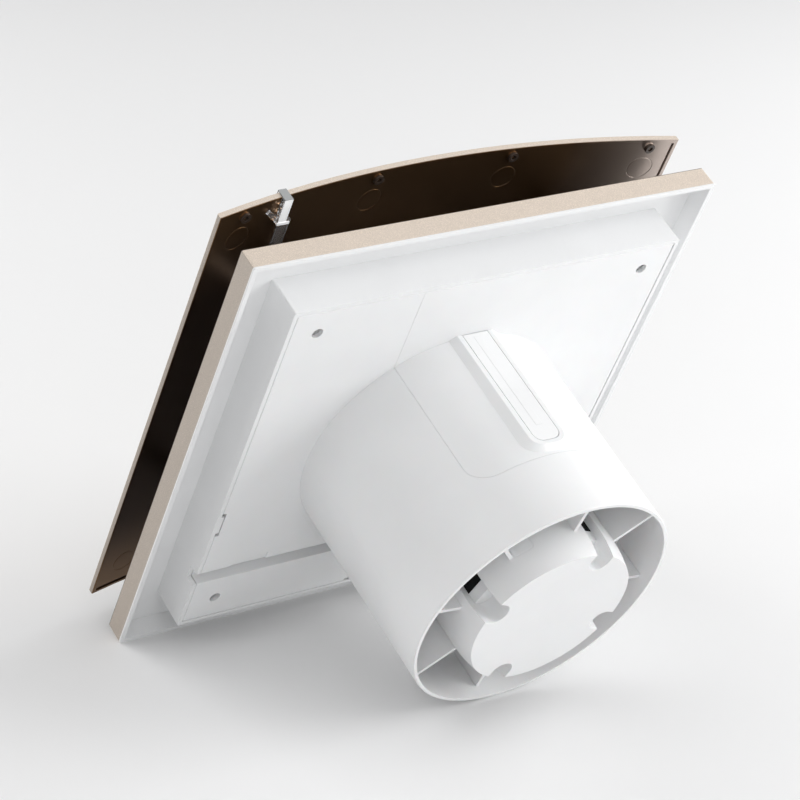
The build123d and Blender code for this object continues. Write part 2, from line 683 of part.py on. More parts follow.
def flap_spring():
    """A light torsion spring: four turns round the pin, and a leg along the +X flap."""
    turn_r = PIN_R + RUNNING + 0.4 + SPRING_WIRE
    turns_height = SPRING_TURNS * SPRING_PITCH
    coil = Pos(0, PIN_Y, SPRING_Z) * Helix(pitch=SPRING_PITCH, height=turns_height, radius=turn_r)
    start = Plane(origin=coil @ 0, z_dir=coil % 0)
    turns = sweep(start * Circle(SPRING_WIRE), path=coil)
    end = coil @ 1
    rest_y = FLAP_FRONT + FLAP_WALL + SPRING_WIRE + RUNNING
    leg = Line(end, (SPRING_REACH, rest_y, end.Z))
    straight = sweep(Plane(origin=end, z_dir=leg % 0) * Circle(SPRING_WIRE), path=leg)
    return turns + Pos(*end) * Sphere(SPRING_WIRE * 1.3) + straight


# ---------------------------------------------------------------- impeller
def blade_section(radius, pitch, chord, camber, thickness):
    """A thin cambered outline across the blade, in a plane square to the radius."""
    half = chord / 2
    upper = ThreePointArc((-half, 0), (0, camber + thickness / 2), (half, 0))
    lower = ThreePointArc((half, 0), (0, camber - thickness / 2), (-half, 0))
    along = (0, sin(radians(pitch)), cos(radians(pitch)))
    plane = Plane(origin=(radius, BLADE_CENTRE, 0), x_dir=along, z_dir=(1, 0, 0))
    return plane * make_face(Wire([upper, lower]))


def impeller():
    blade = loft([blade_section(*section) for section in BLADE_SECTIONS])
    swept = tube(BLADE_R, HUB_R - HUB_WALL + 0.6, HUB_FRONT - OVER, HUB_BACK + OVER)
    hub = rod(HUB_R, HUB_FRONT, HUB_BACK)
    hub = fillet(hub.faces().sort_by(Axis.Y)[0].edges(), HUB_EDGE_R)
    hub -= rod(HUB_R - HUB_WALL, HUB_FRONT + HUB_WALL, HUB_BACK + OVER)
    hub += rod(HUB_CORE_R, HUB_FRONT, HUB_BACK - 2)
    web = block((HUB_CORE_R - OVER, HUB_R - 1), (HUB_FRONT + 1, HUB_BACK - 5), both_ways(HUB_WEB))
    for item in around(web, BLADE_COUNT):
        hub += item
    for item in around(blade, BLADE_COUNT):
        hub += item & swept
    return hub - rod(SHAFT_R, HUB_FRONT - OVER, HUB_BACK + OVER)


def impeller_clip():
    ring = tube(CLIP_R, SHAFT_R, HUB_FRONT - CLIP_WALL, HUB_FRONT)
    slot = block((CLIP_SLOT_R, CLIP_R + OVER), (HUB_FRONT - 2, HUB_FRONT + 1), both_ways(HUB_WEB))
    for gap in around(slot, 4, 45):
        ring -= gap
    return ring


# ---------------------------------------------------------------- motor support
def slot_outline(grow, reach):
    """A groove's outline along +X: straight sides and a round inner end, cut off at its reach."""
    half = NOTCH_WIDTH / 2 + grow
    centre = NOTCH_INNER + NOTCH_WIDTH / 2
    outline = Pos(centre, 0) * Circle(half) + Pos(centre + FAR / 2, 0) * Rectangle(FAR, 2 * half)
    return outline & (Pos(reach / 2, 0) * Rectangle(reach, NOTCH_WIDTH * 2))


def notches(grow, y_start, y_end, reach=NOTCH_REACH):
    return around(prism(slot_outline(grow, reach), y_start, y_end), NOTCH_COUNT, NOTCH_ANGLE)


def cup_outside():
    """The cup's outside, rounded in towards its far end."""
    side = Line((CUP_R, CUP_FRONT), (CUP_R, CUP_BACK - CUP_NOSE))
    nose = TangentArc(side @ 1, (CUP_FACE_R, CUP_BACK), tangent=(0, 1))
    rest = Polyline(nose @ 1, (0, CUP_BACK), (0, CUP_FRONT), side @ 0)
    return revolve(make_face(Wire([side, nose, *rest.edges()])), Axis.Y)


def cup_panel():
    """A cutter for the shallow panel outline on the cup's side."""
    wide, tall = PANEL_SIZE
    angle = radians(PANEL_ANGLE)
    outward = (cos(angle), 0, sin(angle))
    place = (CUP_FACE_R * cos(angle), PANEL_Y, CUP_FACE_R * sin(angle))
    plane = Plane(origin=place, x_dir=(-sin(angle), 0, cos(angle)), z_dir=outward)
    inside = RectangleRounded(wide - 2 * PANEL_LINE, tall - 2 * PANEL_LINE, PANEL_CORNER - PANEL_LINE)
    outline = extrude(plane * (RectangleRounded(wide, tall, PANEL_CORNER) - inside), 2 * CUP_WALL)
    return outline - rod(CUP_R - PANEL_DEPTH, CUP_FRONT, CUP_BACK)


def motor_support():
    outside = cup_outside()
    inside = rod(CUP_BORE_R, CUP_FRONT - OVER, CUP_BACK - CUP_WALL)
    for groove in notches(0, CUP_FRONT - OVER, CUP_BACK + OVER):
        outside -= groove
    for wall in notches(NOTCH_WALL, CUP_FRONT - 2 * OVER, CUP_BACK + 2 * OVER):
        inside -= wall
    body = outside - inside - cup_panel()
    for shelf in notches(SHELF_ROOT, SHELF_FRONT, SHELF_BACK, SHELF_REACH):
        body += shelf
    slot_y = (CUP_FRONT - OVER, ARM_BACK + ARM_PLAY)
    arm_slot = block((ARM_SLOT_ROOT, SHELF_REACH), slot_y, both_ways(ARM_WIDTH / 2 + ARM_PLAY))
    for slot in around(arm_slot, NOTCH_COUNT, NOTCH_ANGLE):
        body -= slot
    vane = block((CUP_R - 2 * VANE_ROOT, BAND_R + OVER), (VANE_FRONT, VANE_END), both_ways(VANE_WALL / 2))
    for item in around(vane, VANE_COUNT, VANE_ANGLE):
        body += item - rod(CUP_R - VANE_ROOT, 0, FAR)
    body += tube(BAND_R, BAND_R - BAND_WALL, VANE_FRONT, BAND_END)
    return body & rod(BAND_R, CUP_FRONT - OVER, CUP_BACK + OVER)


def rubber_blocks():
    shape = prism(slot_outline(-RUBBER_PLAY, RUBBER_REACH), RUBBER_FRONT, RUBBER_BACK)
    arm = block((ARM_ROOT, ARM_REACH + RUBBER_PLAY), (ARM_FRONT, ARM_BACK), both_ways(ARM_WIDTH / 2))
    return around(shape - arm, NOTCH_COUNT, NOTCH_ANGLE)


# ---------------------------------------------------------------- motor
def tie_holes():
    return [rod(TIE_R + RUNNING, 0, FAR, x, z) for x, z in TIE_PLACES]


def stator_core():
    sheets = (CORE_FRONT, CORE_BACK)
    body = tube(CORE_R, YOKE_R, *sheets)
    pole = block((POLE_ROOT, YOKE_R + OVER), sheets, both_ways(POLE_WIDTH / 2))
    for item in around(pole, POLE_COUNT):
        body += item
    shoe = tube(SHOE_R, CORE_BORE_R, *sheets)
    for gap in around(block((0, CORE_R), (0, FAR), both_ways(SHOE_GAP)), POLE_COUNT, 45):
        shoe -= gap
    body = body + shoe - rod(CORE_BORE_R, 0, FAR)
    for hole in tie_holes():
        body -= hole
    return body


def stator_coils():
    half = POLE_WIDTH / 2 + COIL_GAP
    along = (CORE_FRONT - COIL_OVERHANG, CORE_BACK + COIL_OVERHANG)
    coil = block(COIL_X, along, both_ways(half + COIL_WALL))
    coil = fillet(coil.edges().filter_by(Axis.X), COIL_CORNER)
    coil -= block((0, CORE_R), (CORE_FRONT - COIL_GAP, CORE_BACK + COIL_GAP), both_ways(half))
    return around(coil, POLE_COUNT)


def bracket(disc_span, skirt_span, seat_span):
    """A motor end bracket: a windowed disc, a skirt against the stator, and a bearing seat."""
    body = rod(CORE_R, *disc_span) + tube(CORE_R, YOKE_R + BRACKET_SKIRT, *skirt_span)
    body += rod(BEARING_SEAT_R, *seat_span)
    for hole in tie_holes():
        body -= hole
    for x, z in TIE_PLACES:
        body -= rod(WINDOW_R, disc_span[0] - OVER, disc_span[1] + OVER, x * WINDOW_AT, z * WINDOW_AT)
    return body - rod(BEARING_R, 0, FAR)


def front_bracket():
    body = bracket((ARM_FRONT, ARM_BACK), (ARM_BACK, CORE_FRONT), (FRONT_SEAT, ARM_FRONT))
    arm = block((ARM_ROOT, ARM_REACH), (ARM_FRONT, ARM_BACK), both_ways(ARM_WIDTH / 2))
    for item in around(arm, NOTCH_COUNT, NOTCH_ANGLE):
        body += item
    for hole in tie_holes():
        body -= hole
    gap_x = (LEAD_X[0] - LEAD_BEND, LEAD_X[1] + LEAD_BEND)
    return body - block(gap_x, (ARM_BACK, CORE_FRONT + OVER), (ARM_SLOT_ROOT, CORE_R + OVER))


def rear_bracket():
    return bracket(REAR_DISC, (CORE_BACK, REAR_DISC[0]), (REAR_DISC[1], REAR_SEAT))


def bearing(y_start, y_end):
    return tube(BEARING_R, SHAFT_R + RUNNING, y_start, y_end)


def motor_shaft():
    return chamfer(rod(SHAFT_R, HUB_FRONT - HUB_WALL + 0.6, SHAFT_END).edges(), SHAFT_CHAMFER)


def rotor_core():
    body = tube(ROTOR_R, SHAFT_R, CORE_FRONT, CORE_BACK)
    rings = (CORE_FRONT - ROTOR_RING, CORE_BACK + ROTOR_RING)
    return body + tube(ROTOR_RING_R, ROTOR_RING_BORE_R, *rings)


def tie_screws():
    head_y = ARM_FRONT - HEAD_HEIGHT
    return [screw(TIE_R, TIE_HEAD_R, head_y, HEAD_HEIGHT, REAR_DISC[1], x, z) for x, z in TIE_PLACES]


# ---------------------------------------------------------------- mains connection and pilot lamp
def terminal_block():
    x, z = terminal_window(-1.0)
    body = block(x, (TERMINAL_FRONT, -PLATE_WALL), z)
    for k in TERMINAL_POLES:
        pole_x = TERMINAL_X + TERMINAL_PITCH * k
        body -= rod(TERMINAL_SCREW_R, TERMINAL_FRONT - OVER, TERMINAL_SCREW_END, pole_x, TERMINAL_Z)
        body -= Pos(pole_x, sum(LEAD_Y) / 2, TERMINAL_Z) * Cylinder(TERMINAL_BORE_R, 2 * TERMINAL_LENGTH)
    return body


def terminal_screws():
    head_y = TERMINAL_FRONT + 2.0
    tip_y = TERMINAL_SCREW_END - TERMINAL_GRIP
    poles = [TERMINAL_X + TERMINAL_PITCH * k for k in TERMINAL_POLES]
    return [screw(1.3, TERMINAL_BORE_R, head_y, 1.8, tip_y, x, TERMINAL_Z) for x in poles]


def terminal_cover():
    x, z = terminal_window(TERMINAL_LAP)
    plate = (RIM_FRONT - TERMINAL_COVER_WALL, RIM_FRONT)
    body = block((x[0], TERMINAL_FIX_X + 2 * TERMINAL_LAP), plate, z)
    body = fillet(body.edges().filter_by(Axis.Y), EASED)
    inner_x, inner_z = terminal_window(-SEAM)
    body += block(inner_x, (RIM_FRONT, FLOOR), inner_z)
    return body - rod(TIE_R, plate[0] - OVER, FLOOR + OVER, TERMINAL_FIX_X, TERMINAL_Z)


def terminal_cover_screw():
    head_y = RIM_FRONT - TERMINAL_COVER_WALL - HEAD_HEIGHT
    tip_y = FLOOR + POST_SCREW_REACH
    return screw(1.0, 2.2, head_y, HEAD_HEIGHT, tip_y, TERMINAL_FIX_X, TERMINAL_Z)


def cable_grommet():
    floor = -GROOVE_DEPTH - GROOVE_WALL
    body = rod(ENTRY_R + GROMMET_FLANGE, floor - GROMMET_LIP, floor, GROOVE_END, ENTRY_Z)
    body += rod(ENTRY_R - RUNNING, floor, -GROOVE_DEPTH + GROMMET_REACH, GROOVE_END, ENTRY_Z)
    body -= rod(GROMMET_BORE_R, floor, 0, GROOVE_END, ENTRY_Z)
    return body - rod(CABLE_R, floor - GROMMET_LIP - OVER, OVER, GROOVE_END, ENTRY_Z)


def cable_clamp():
    long = both_ways(CLAMP_HALF + CLAMP_END, CLAMP_Z)
    bar = block(both_ways(CLAMP_WIDTH / 2, CLAMP_X), (POST_FRONT - CLAMP_WALL, POST_FRONT), long)
    bar = fillet(bar.edges().filter_by(Axis.Y), EASED)
    for x in both_ways(CLAMP_RIB_X, CLAMP_X):
        rib = (POST_FRONT, POST_FRONT + CLAMP_RIB)
        bar += block(both_ways(CLAMP_RIB / 2, x), rib, both_ways(CLAMP_END, CLAMP_Z))
    for x, z in posts()[:2]:
        bar -= rod(POST_SCREW_R, POST_FRONT - CLAMP_WALL - OVER, POST_FRONT + OVER, x, z)
    return bar


def clamp_screws():
    return [small_screw(POST_FRONT, CLAMP_WALL, x, z) for x, z in posts()[:2]]


def lamp_board():
    front = POST_FRONT - BOARD_WALL
    board = block(BOARD_X, (front, POST_FRONT), BOARD_Z)
    for x, z in BOARD_SCREWS:
        board -= rod(POST_SCREW_R, front - OVER, POST_FRONT + OVER, x, z)
    for x in CHIP_X:
        board += block((x, x + CHIP_LENGTH), (front - CHIP_HEIGHT, front), CHIP_Z)
    return board


def board_screws():
    return [small_screw(POST_FRONT, BOARD_WALL, x, z) for x, z in BOARD_SCREWS]


def lamp_led():
    base = POST_FRONT - BOARD_WALL
    dome = base - LED_LENGTH
    body = rod(LED_R + LED_COLLAR, base - 1, base, LAMP_X, LAMP_Z)
    body += rod(LED_R, dome, base - 1, LAMP_X, LAMP_Z)
    return body + Pos(LAMP_X, dome, LAMP_Z) * Sphere(LED_R)


# ---------------------------------------------------------------- leads
def motor_leads():
    """Two wires: terminal block, left side of the box, over the top, along the ridge, to the motor."""
    wires = []
    low, turn, high = LEAD_SIDE_Z
    for y, x, pole in zip(LEAD_Y, LEAD_X, TERMINAL_POLES):
        pole_x = TERMINAL_X + TERMINAL_PITCH * pole
        points = [
            (pole_x, y, TERMINAL_Z + LEAD_INSIDE),
            (pole_x, y, low),
            (LEAD_SIDE_X, y, turn),
            (LEAD_SIDE_X, y, high),
            (LEAD_CORNER_X, y, LEAD_TOP_Z),
            (x, y, LEAD_TOP_Z),
            (x, y, LEAD_Z),
            (x, LEAD_IN_Y, LEAD_Z),
            (x, LEAD_IN_Y, LEAD_DOWN_Z),
            (x, LEAD_COIL_Y, LEAD_DOWN_Z),
            (x, LEAD_COIL_Y, LEAD_COIL_Z),
        ]
        wires.append(wire_run(points, LEAD_R, LEAD_BEND))
    return wires


def lamp_leads():
    """Two wires: terminal block, under the spigot, up the right side of the box, to the lamp board."""
    wires = []
    for y, pole, end_z in zip(LEAD_Y, (1, 0), LAMP_LEAD_Z):
        pole_x = TERMINAL_X + TERMINAL_PITCH * pole
        points = [
            (pole_x, y, TERMINAL_Z - LEAD_INSIDE),
            (pole_x, y, LAMP_LEAD_LOW),
            (LAMP_LEAD_X, y, LAMP_LEAD_LOW),
            (LAMP_LEAD_X, y, end_z),
            (BOARD_X[1] + LEAD_R, y, end_z),
        ]
        wires.append(wire_run(points, LEAD_R, LAMP_LEAD_BEND))
    return wires


# ---------------------------------------------------------------- nodes
other_side = Rot(0, 180, 0)
nodes = {
    "front_cover": front_cover(),
    "light_guide": light_guide(),
    "frame": frame(),
    "back_plate": back_plate(),
    "cable_strip": cable_strip(),
    "inlet_grille": inlet_grille(),
    "shutter_frame": shutter_frame(),
    "shutter_pin": shutter_pin(),
    "flap_right": flap(),
    "flap_left": other_side * flap(),
    "flap_spring_right": flap_spring(),
    "flap_spring_left": other_side * flap_spring(),
    "impeller": impeller(),
    "impeller_clip": impeller_clip(),
    "motor_support": motor_support(),
    "rubber_blocks": rubber_blocks(),
    "motor_shaft": motor_shaft(),
    "rotor_core": rotor_core(),
    "stator_core": stator_core(),
    "stator_coils": stator_coils(),
    "front_bracket": front_bracket(),
    "rear_bracket": rear_bracket(),
    "front_bearing": bearing(FRONT_SEAT, ARM_BACK),
    "rear_bearing": bearing(REAR_DISC[0], REAR_SEAT),
    "tie_screws": tie_screws(),
    "terminal_block": terminal_block(),
    "terminal_screws": terminal_screws(),
    "terminal_cover": terminal_cover(),
    "terminal_cover_screw": terminal_cover_screw(),
    "cable_grommet": cable_grommet(),
    "cable_clamp": cable_clamp(),
    "clamp_screws": clamp_screws(),
    "lamp_board": lamp_board(),
    "board_screws": board_screws(),
    "lamp_led": lamp_led(),
    "motor_leads": motor_leads(),
    "lamp_leads": lamp_leads(),
}
for name, shape in nodes.items():
    save(name, shape)
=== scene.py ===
from math import cos, radians, sin

import bpy
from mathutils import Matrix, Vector


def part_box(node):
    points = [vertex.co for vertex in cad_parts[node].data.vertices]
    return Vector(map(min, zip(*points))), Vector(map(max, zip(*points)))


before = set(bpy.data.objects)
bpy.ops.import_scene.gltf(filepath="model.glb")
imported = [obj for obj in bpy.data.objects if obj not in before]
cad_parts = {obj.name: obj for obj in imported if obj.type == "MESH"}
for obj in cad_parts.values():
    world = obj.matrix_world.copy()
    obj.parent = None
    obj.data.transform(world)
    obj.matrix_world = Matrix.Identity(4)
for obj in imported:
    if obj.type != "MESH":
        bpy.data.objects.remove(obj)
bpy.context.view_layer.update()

MM = 0.001

# ---------------------------------------------------------------- sizes from the part, in metres
rim_low, rim_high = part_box("frame")
plate_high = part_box("back_plate")[1]
cover_low, cover_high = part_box("front_cover")
RIM_HALF = rim_high.x
RIM_FRONT = rim_low.y
RIM_BACK = -10.45 * MM
SPIGOT_END = plate_high.y
SPIGOT_BOTTOM = -59.5 * MM
GUIDE_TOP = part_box("light_guide")[1].z
GUIDE_BACK = -41.5 * MM
COVER_R = 550.0 * MM
COVER_WALL = 2.7 * MM
COVER_HALF = cover_high.x
COVER_AXIS_Y = cover_low.y + COVER_WALL + COVER_R

# The fan lies on its rim's lower back edge and on the end of its spigot
GROUND_POINT = Vector((0, RIM_BACK, -RIM_HALF))
GROUND_RISE = (SPIGOT_BOTTOM + RIM_HALF) / (SPIGOT_END - RIM_BACK)
GROUND_UP = Vector((0, -GROUND_RISE, 1)).normalized()


# ---------------------------------------------------------------- surface detail
MASK_BLUR = 0.1 * MM
FLAKE_SIZE = 0.16 * MM
FINE_GRAIN = 0.25 * MM
CLOUD_SIZE = 22 * MM
EDGE_ROUND = 0.22 * MM
BEVEL_SAMPLES = 6


# ---------------------------------------------------------------- node helpers
class Shader:
    """A material with one Principled shader, and short calls that add and join its nodes."""

    def __init__(self, name, **sockets):
        self.material = bpy.data.materials.new(name)
        self.material.use_nodes = True
        self.tree = self.material.node_tree
        self.tree.nodes.clear()
        self.out = self.tree.nodes.new("ShaderNodeOutputMaterial")
        self.body = self.tree.nodes.new("ShaderNodeBsdfPrincipled")
        self.tree.links.new(self.body.outputs[0], self.out.inputs["Surface"])
        self.place = self.tree.nodes.new("ShaderNodeTexCoord").outputs["Object"]
        self.put(self.body, **sockets)

    def put(self, node, **sockets):
        """Sets or joins sockets by name, with _ for a space."""
        for key, value in sockets.items():
            socket = node.inputs[key.replace("_", " ")]
            if isinstance(value, bpy.types.NodeSocket):
                self.tree.links.new(value, socket)
            elif isinstance(value, tuple) and len(value) == 3 and socket.type == "RGBA":
                socket.default_value = (*value, 1)
            else:
                socket.default_value = value

    def node(self, kind, settings=None, **sockets):
        made = self.tree.nodes.new("ShaderNode" + kind)
        for key, value in (settings or {}).items():
            setattr(made, key, value)
        self.put(made, **sockets)
        return made

    def math(self, operation, a, b=0.0, clamp=False):
        made = self.node("Math", {"operation": operation, "use_clamp": clamp})
        for socket, value in zip(made.inputs, (a, b)):
            if isinstance(value, bpy.types.NodeSocket):
                self.tree.links.new(value, socket)
            else:
                socket.default_value = value
        return made.outputs[0]

    def stretched(self, x=1.0, y=1.0, z=1.0):
        """Object coordinates with each axis scaled."""
        made = self.node("Mapping", Vector=self.place, Scale=(x, y, z))
        return made.outputs[0]

    def noise(self, size, detail=3.0, rough=0.5, at=None):
        """Noise from 0 to 1 whose blobs are about size metres across."""
        made = self.node("TexNoise", Vector=at or self.place, Scale=1 / size)
        self.put(made, Detail=detail, Roughness=rough)
        return made.outputs["Fac"]

    def cells(self, size):
        """A random grey for each cell of about size metres."""
        made = self.node("TexVoronoi", Vector=self.place, Scale=1 / size)
        return self.node("SeparateColor", Color=made.outputs["Color"]).outputs[0]

    def spread(self, value, low, high, to_low=0.0, to_high=1.0):
        """Maps low to high onto another span, smoothly and clamped."""
        made = self.node("MapRange", {"interpolation_type": "SMOOTHSTEP"}, Value=value)
        for key, number in (("From Min", low), ("From Max", high), ("To Min", to_low), ("To Max", to_high)):
            made.inputs[key].default_value = number
        return made.outputs[0]

    def beyond(self, value, place):
        """0 up to a place, 1 past it, blurred over a tenth of a millimetre."""
        return self.spread(value, place, place + MASK_BLUR)

    def blend(self, factor, first, second):
        made = self.node("Mix", {"data_type": "RGBA"})
        for k, value in ((0, factor), (6, first), (7, second)):
            if isinstance(value, bpy.types.NodeSocket):
                self.tree.links.new(value, made.inputs[k])
            elif isinstance(value, tuple):
                made.inputs[k].default_value = (*value, 1)
            else:
                made.inputs[k].default_value = value
        return made.outputs[2]

    def axis(self, name):
        return self.node("SeparateXYZ", Vector=self.place).outputs[name]

    def relief(self, height, depth, edge=0.0):
        """Bump of the given depth in metres, over edges that look rounded by a small radius."""
        bump = self.node("Bump", Height=height, Distance=depth, Strength=1.0)
        if edge:
            rounded = self.node("Bevel", {"samples": BEVEL_SAMPLES}, Radius=edge)
            self.put(bump, Normal=rounded.outputs[0])
        self.put(self.body, Normal=bump.outputs[0])


def give(material, *nodes):
    """Puts one material on CAD nodes, in place of what they came with."""
    for name in nodes:
        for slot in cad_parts[name].material_slots:
            slot.material = material


# ---------------------------------------------------------------- moulded plastics
WHITE = (0.815, 0.82, 0.825)
CHAMPAGNE = (0.70, 0.605, 0.515)
# Painted shade: the frame's hidden front is dark, standing for the shade in the gap behind the cover
FRONT_PAINTED_SHADE = (0.040, 0.022, 0.013)
DARK_METAL = (0.17, 0.095, 0.042)
# Painted reflection: the pale colour the dark inside of the cover takes toward its -X end
INSIDE_PAINTED_REFLECTION = (0.56, 0.48, 0.43)
# Painted shade toward the +X end of the cover's inside
DARK_SHADE = (0.06, 0.028, 0.012)
DARK_BOSS = (0.045, 0.030, 0.022)
RUBBER = (0.004, 0.004, 0.0045)
LACQUER_METALLIC = 0.15
LACQUER_ROUGH = 0.40
# Fitted painted shade: how bright the lacquer is painted on the upright edges, against the level ones
RIM_UPRIGHT_PAINTED_SHADE = 0.65
COVER_UPRIGHT_PAINTED_SHADE = 0.52
# Fitted painted reflection and painted shade inside the cover: where the painted reflection at its paler -X
# end fades, and where the painted shade at its darker +X end begins
PAINTED_REFLECTION_X = (-112 * MM, -55 * MM)
SHADE_X = (40 * MM, 105 * MM)
SHADE_Z = (60 * MM, 108 * MM)


def scaled(colour, factor):
    return tuple(min(1, c * factor) for c in colour)


def moulded(name, colour, rough=0.34, grain=FINE_GRAIN, edge=EDGE_ROUND, **sockets):
    """Satin moulded plastic: fine texture, slight clouding of colour and gloss, soft edges."""
    s = Shader(name, **sockets)
    cloud = s.noise(CLOUD_SIZE, 4)
    s.put(s.body, Base_Color=s.blend(s.spread(cloud, 0.3, 0.7), colour, scaled(colour, 0.98)))
    s.put(s.body, Roughness=s.spread(s.noise(6 * MM, 5), 0.25, 0.75, rough - 0.04, rough + 0.05))
    s.relief(s.noise(grain, 2), 0.002 * MM, edge)
    return s.material


def lacquer_colour(s, strength=1.0):
    """Champagne lacquer: a beige ground with fine bright flakes; a strength below 1 paints shade on it."""
    sparkle = s.spread(s.cells(FLAKE_SIZE), 0.60, 1.0)
    return s.blend(sparkle, scaled(CHAMPAGNE, 0.93 * strength), scaled(CHAMPAGNE, 1.28 * strength))


def edge_colour_with_painted_shade(s, upright_painted_shade):
    """The lacquer round an edge, with painted shade making it duller on the two upright sides."""
    upright = s.math("GREATER_THAN", s.math("ABSOLUTE", s.axis("X")), s.math("ABSOLUTE", s.axis("Z")))
    return s.blend(upright, lacquer_colour(s), lacquer_colour(s, upright_painted_shade))


def rim_material():
    """White inside and behind, lacquered outside with painted shade on its upright sides, and dark on the
    hidden front as painted shade for the gap behind the cover.
    """
    s = Shader("frame_white_and_lacquer")
    reach = s.math("MAXIMUM", s.math("ABSOLUTE", s.axis("X")), s.math("ABSOLUTE", s.axis("Z")))
    wobble = s.math("MULTIPLY", s.math("SUBTRACT", s.noise(3 * MM), 0.5), 0.08 * MM)
    y = s.math("ADD", s.axis("Y"), wobble)
    outer = s.spread(reach, RIM_HALF - 0.30 * MM, RIM_HALF - 0.22 * MM)
    before_edge = s.spread(y, RIM_BACK - 0.95 * MM, RIM_BACK - 0.88 * MM, 1.0, 0.0)
    behind_front = s.beyond(s.axis("Y"), RIM_FRONT + 0.15 * MM)
    mask = s.math("MULTIPLY", outer, before_edge)
    cloud = s.spread(s.noise(CLOUD_SIZE, 4), 0.3, 0.7)
    white = s.blend(cloud, WHITE, scaled(WHITE, 0.98))
    pale = s.blend(mask, white, edge_colour_with_painted_shade(s, RIM_UPRIGHT_PAINTED_SHADE))
    # Painted shade on the front face, for the shaded gap behind the cover
    s.put(s.body, Base_Color=s.blend(behind_front, FRONT_PAINTED_SHADE, pale))
    s.put(s.body, Metallic=s.math("MULTIPLY", mask, LACQUER_METALLIC))
    s.put(s.body, Roughness=s.spread(s.noise(5 * MM, 5), 0.25, 0.75, 0.34, 0.42))
    flakes = s.math("MULTIPLY", s.math("MULTIPLY", s.cells(FLAKE_SIZE), mask), 1.5)
    s.relief(s.math("ADD", s.noise(FINE_GRAIN, 2), flakes), 0.003 * MM, EDGE_ROUND)
    return s.material


def cover_material():
    """Champagne outside and round the edges, with painted shade on the upright edges; dark and glossy on
    the inside, with a painted reflection toward -X and painted shade toward +X.
    """
    s = Shader("cover_lacquer_and_dark_inside")
    y = s.math("SUBTRACT", s.axis("Y"), COVER_AXIS_Y)
    x = s.axis("X")
    radius = s.math("SQRT", s.math("ADD", s.math("MULTIPLY", x, x), s.math("MULTIPLY", y, y)))
    reach = s.math("MAXIMUM", s.math("ABSOLUTE", x), s.math("ABSOLUTE", s.axis("Z")))
    edge = s.math("MULTIPLY", s.beyond(reach, COVER_HALF - 0.6 * MM), s.beyond(radius, COVER_R + 0.25 * MM))
    outside = s.beyond(radius, COVER_R + COVER_WALL - 0.4 * MM)
    mask = s.math("MAXIMUM", edge, outside)
    cloud = s.spread(s.noise(30 * MM, 4), 0.3, 0.7)
    middle = s.blend(cloud, DARK_METAL, scaled(DARK_METAL, 1.15))
    # Painted reflection paler toward -X, and painted shade darker toward +X away from the top and bottom
    painted_reflection = s.spread(x, *PAINTED_REFLECTION_X, 1.0, 0.0)
    middle_height = s.spread(s.math("ABSOLUTE", s.axis("Z")), *SHADE_Z, 1.0, 0.0)
    shade = s.math("MULTIPLY", s.spread(x, *SHADE_X), middle_height)
    inside = s.blend(shade, s.blend(painted_reflection, middle, INSIDE_PAINTED_REFLECTION), DARK_SHADE)
    # Bosses and legs stand in from the curved face
    boss = s.spread(radius, COVER_R - 0.5 * MM, COVER_R - 0.3 * MM, 1.0, 0.0)
    inside = s.blend(boss, inside, DARK_BOSS)
    lacquer = s.blend(outside, edge_colour_with_painted_shade(s, COVER_UPRIGHT_PAINTED_SHADE), lacquer_colour(s))
    s.put(s.body, Base_Color=s.blend(mask, inside, lacquer))
    dark_metallic = s.spread(boss, 0.0, 1.0, 0.9, 0.1)
    inside_metallic = s.math("MULTIPLY", s.math("SUBTRACT", 1.0, mask), dark_metallic)
    outside_metallic = s.math("MULTIPLY", mask, LACQUER_METALLIC)
    s.put(s.body, Metallic=s.math("MAXIMUM", outside_metallic, inside_metallic))
    s.put(s.body, Roughness=s.spread(mask, 0.0, 1.0, 0.30, LACQUER_ROUGH))
    ripple = s.math("MULTIPLY", s.noise(28 * MM, 2), 6.0)
    flakes = s.math("MULTIPLY", s.math("ADD", s.noise(FINE_GRAIN, 2), s.cells(FLAKE_SIZE)), mask)
    s.relief(s.math("ADD", flakes, ripple), 0.004 * MM, EDGE_ROUND)
    return s.material


give(rim_material(), "frame")
give(cover_material(), "front_cover")
white = moulded("white_plastic", WHITE, Subsurface_Weight=0.05, Subsurface_Scale=0.002)
give(white, "back_plate", "motor_support", "inlet_grille", "shutter_frame", "terminal_cover", "impeller")
give(moulded("strip_plastic", (0.84, 0.845, 0.85), rough=0.22), "cable_strip")
flap_plastic = moulded("flap_plastic", (0.78, 0.79, 0.79), rough=0.3, Transmission_Weight=0.15)
give(flap_plastic, "flap_right", "flap_left")
give(moulded("terminal_plastic", (0.72, 0.71, 0.66), rough=0.42), "terminal_block", "cable_clamp")
black_rubber = moulded("black_rubber", RUBBER, rough=0.8, grain=0.4 * MM, Specular_IOR_Level=0.25)
give(black_rubber, "rubber_blocks", "cable_grommet")
give(moulded("lead_insulation", (0.10, 0.045, 0.02), rough=0.36, edge=0), "motor_leads", "lamp_leads")


